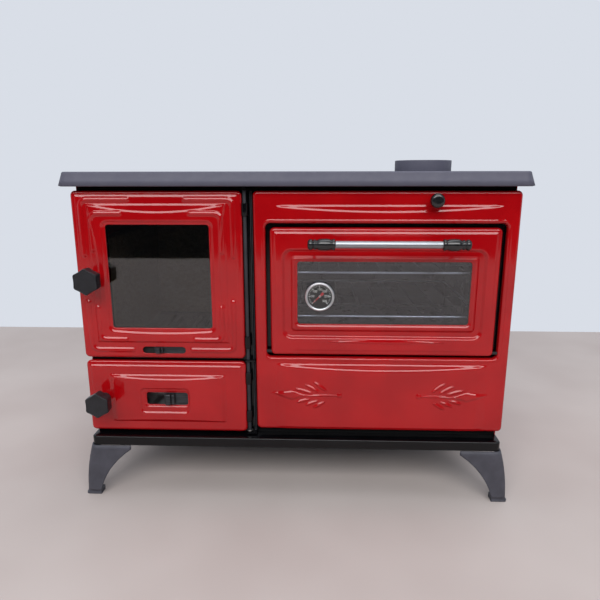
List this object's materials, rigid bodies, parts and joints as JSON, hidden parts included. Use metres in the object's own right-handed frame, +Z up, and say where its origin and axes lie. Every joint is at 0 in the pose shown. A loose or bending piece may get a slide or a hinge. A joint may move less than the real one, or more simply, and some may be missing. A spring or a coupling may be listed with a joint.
{
  "type": "wood cookstove",
  "caption": "Free-standing wood cookstove with a glazed firebox door over an ash door, a drop-down glazed oven door, a hob plate with a flue collar, and corner legs.",
  "frame": {"origin": "on the floor, under the middle of the stove's bounding box", "axes": "+Z up, -Y out of the front where the doors are, +X to the right as seen from the front"},
  "size_m": [0.864, 0.5124, 0.675],
  "materials": {
    "red_enamel": "gloss vitreous enamel",
    "black_enamel": "gloss black enamel",
    "grey_paint": "matt heat-proof paint",
    "dark_paint": "matt stove paint",
    "cast_iron": "as cast, blacked",
    "steel": "bare and zinc-plated steel",
    "chrome": "bright chrome",
    "bakelite": "moulded black bakelite",
    "stove_glass": "dark ceramic glass",
    "clear_glass": "clear glass",
    "firebrick": "fired clay, matt",
    "rope": "knitted glass-fibre rope",
    "needle_red": "red paint"
  },
  "bodies": {
    "body": {"side_panel_left": "red_enamel", "side_panel_right": "red_enamel", "back_panel": "black_enamel", "floor_plate": "dark_paint", "partition": "dark_paint", "front_plate": "black_enamel", "base_frame": "black_enamel", "leg_front_left": "grey_paint", "leg_front_right": "grey_paint", "leg_back_left": "grey_paint", "leg_back_right": "grey_paint", "hob_plate": "grey_paint", "flue_collar": "grey_paint", "hinge_bracket_lower": "steel", "hinge_bracket_middle": "steel", "hinge_bracket_upper": "steel", "hinge_rod": "steel", "firebox_floor": "dark_paint", "fire_grate": "cast_iron", "firebrick_left": "firebrick", "firebrick_right": "firebrick", "firebrick_rear": "firebrick", "ash_pan": "steel", "oven_front_panel": "red_enamel", "oven_box": "black_enamel", "oven_rack_lower": "chrome", "oven_rack_upper": "chrome", "oven_hinge_pin_left": "steel", "oven_hinge_pin_right": "steel"},
    "hob_ring": {"hob_ring": "cast_iron"},
    "hob_lid": {"hob_lid": "cast_iron"},
    "firebox_door": {"firebox_door_panel": "red_enamel", "firebox_glass": "stove_glass", "firebox_glass_retainer": "dark_paint", "firebox_door_liner": "dark_paint", "firebox_door_seal": "rope"},
    "firebox_latch": {"firebox_knob": "bakelite", "firebox_latch": "steel"},
    "firebox_air": {"firebox_air_slider": "steel"},
    "ash_door": {"ash_door_panel": "red_enamel"},
    "ash_latch": {"ash_knob": "bakelite", "ash_latch": "steel"},
    "ash_air": {"ash_air_slider": "steel"},
    "oven_door": {"oven_door_panel": "red_enamel", "oven_glass": "stove_glass", "oven_glass_retainer": "dark_paint", "oven_door_liner": "dark_paint", "oven_door_seal": "rope", "handle_bar": "chrome", "handle_grip_left": "bakelite", "handle_grip_right": "bakelite", "handle_post_left": "black_enamel", "handle_post_right": "black_enamel", "thermometer_case": "chrome", "thermometer_dial": "bakelite", "thermometer_lens": "clear_glass"},
    "needle": {"thermometer_needle": "needle_red"},
    "damper": {"damper_rod": "steel", "damper_knob": "bakelite", "damper_plate": "steel"}
  },
  "joints": [
    {"name": "hob_ring_lift", "type": "slide", "parent": "body", "child": "hob_ring", "axis": [0, 0, 1], "range_m": [0, 0.12]},
    {"name": "hob_lid_lift", "type": "slide", "parent": "hob_ring", "child": "hob_lid", "axis": [0, 0, 1], "range_m": [0, 0.12]},
    {"name": "firebox_door_hinge", "type": "hinge", "parent": "body", "child": "firebox_door", "pos_m": [-0.09, -0.18575, 0.454], "axis": [0, 0, 1], "range_deg": [0, 95]},
    {"name": "firebox_latch_turn", "type": "hinge", "parent": "firebox_door", "child": "firebox_latch", "pos_m": [-0.378, -0.19375, 0.454], "axis": [0, 1, 0], "range_deg": [0, 90]},
    {"name": "firebox_air_slide", "type": "slide", "parent": "firebox_door", "child": "firebox_air", "axis": [1, 0, 0], "range_m": [-0.022, 0.036]},
    {"name": "ash_door_hinge", "type": "hinge", "parent": "body", "child": "ash_door", "pos_m": [-0.09, -0.18575, 0.2105], "axis": [0, 0, 1], "range_deg": [0, 95]},
    {"name": "ash_latch_turn", "type": "hinge", "parent": "ash_door", "child": "ash_latch", "pos_m": [-0.378, -0.19375, 0.2105], "axis": [0, 1, 0], "range_deg": [0, 90]},
    {"name": "ash_air_slide", "type": "slide", "parent": "ash_door", "child": "ash_air", "axis": [1, 0, 0], "range_m": [-0.036, 0.022]},
    {"name": "oven_door_hinge", "type": "hinge", "parent": "body", "child": "oven_door", "pos_m": [0.16985, -0.18675, 0.308], "axis": [1, 0, 0], "range_deg": [0, 90]},
    {"name": "thermometer_needle_turn", "type": "hinge", "parent": "oven_door", "child": "needle", "pos_m": [0.04985, -0.19675, 0.4205], "axis": [0, 1, 0], "range_deg": [0, 270]},
    {"name": "damper_pull", "type": "slide", "parent": "body", "child": "damper", "axis": [0, -1, 0], "range_m": [0, 0.11]}
  ]
}
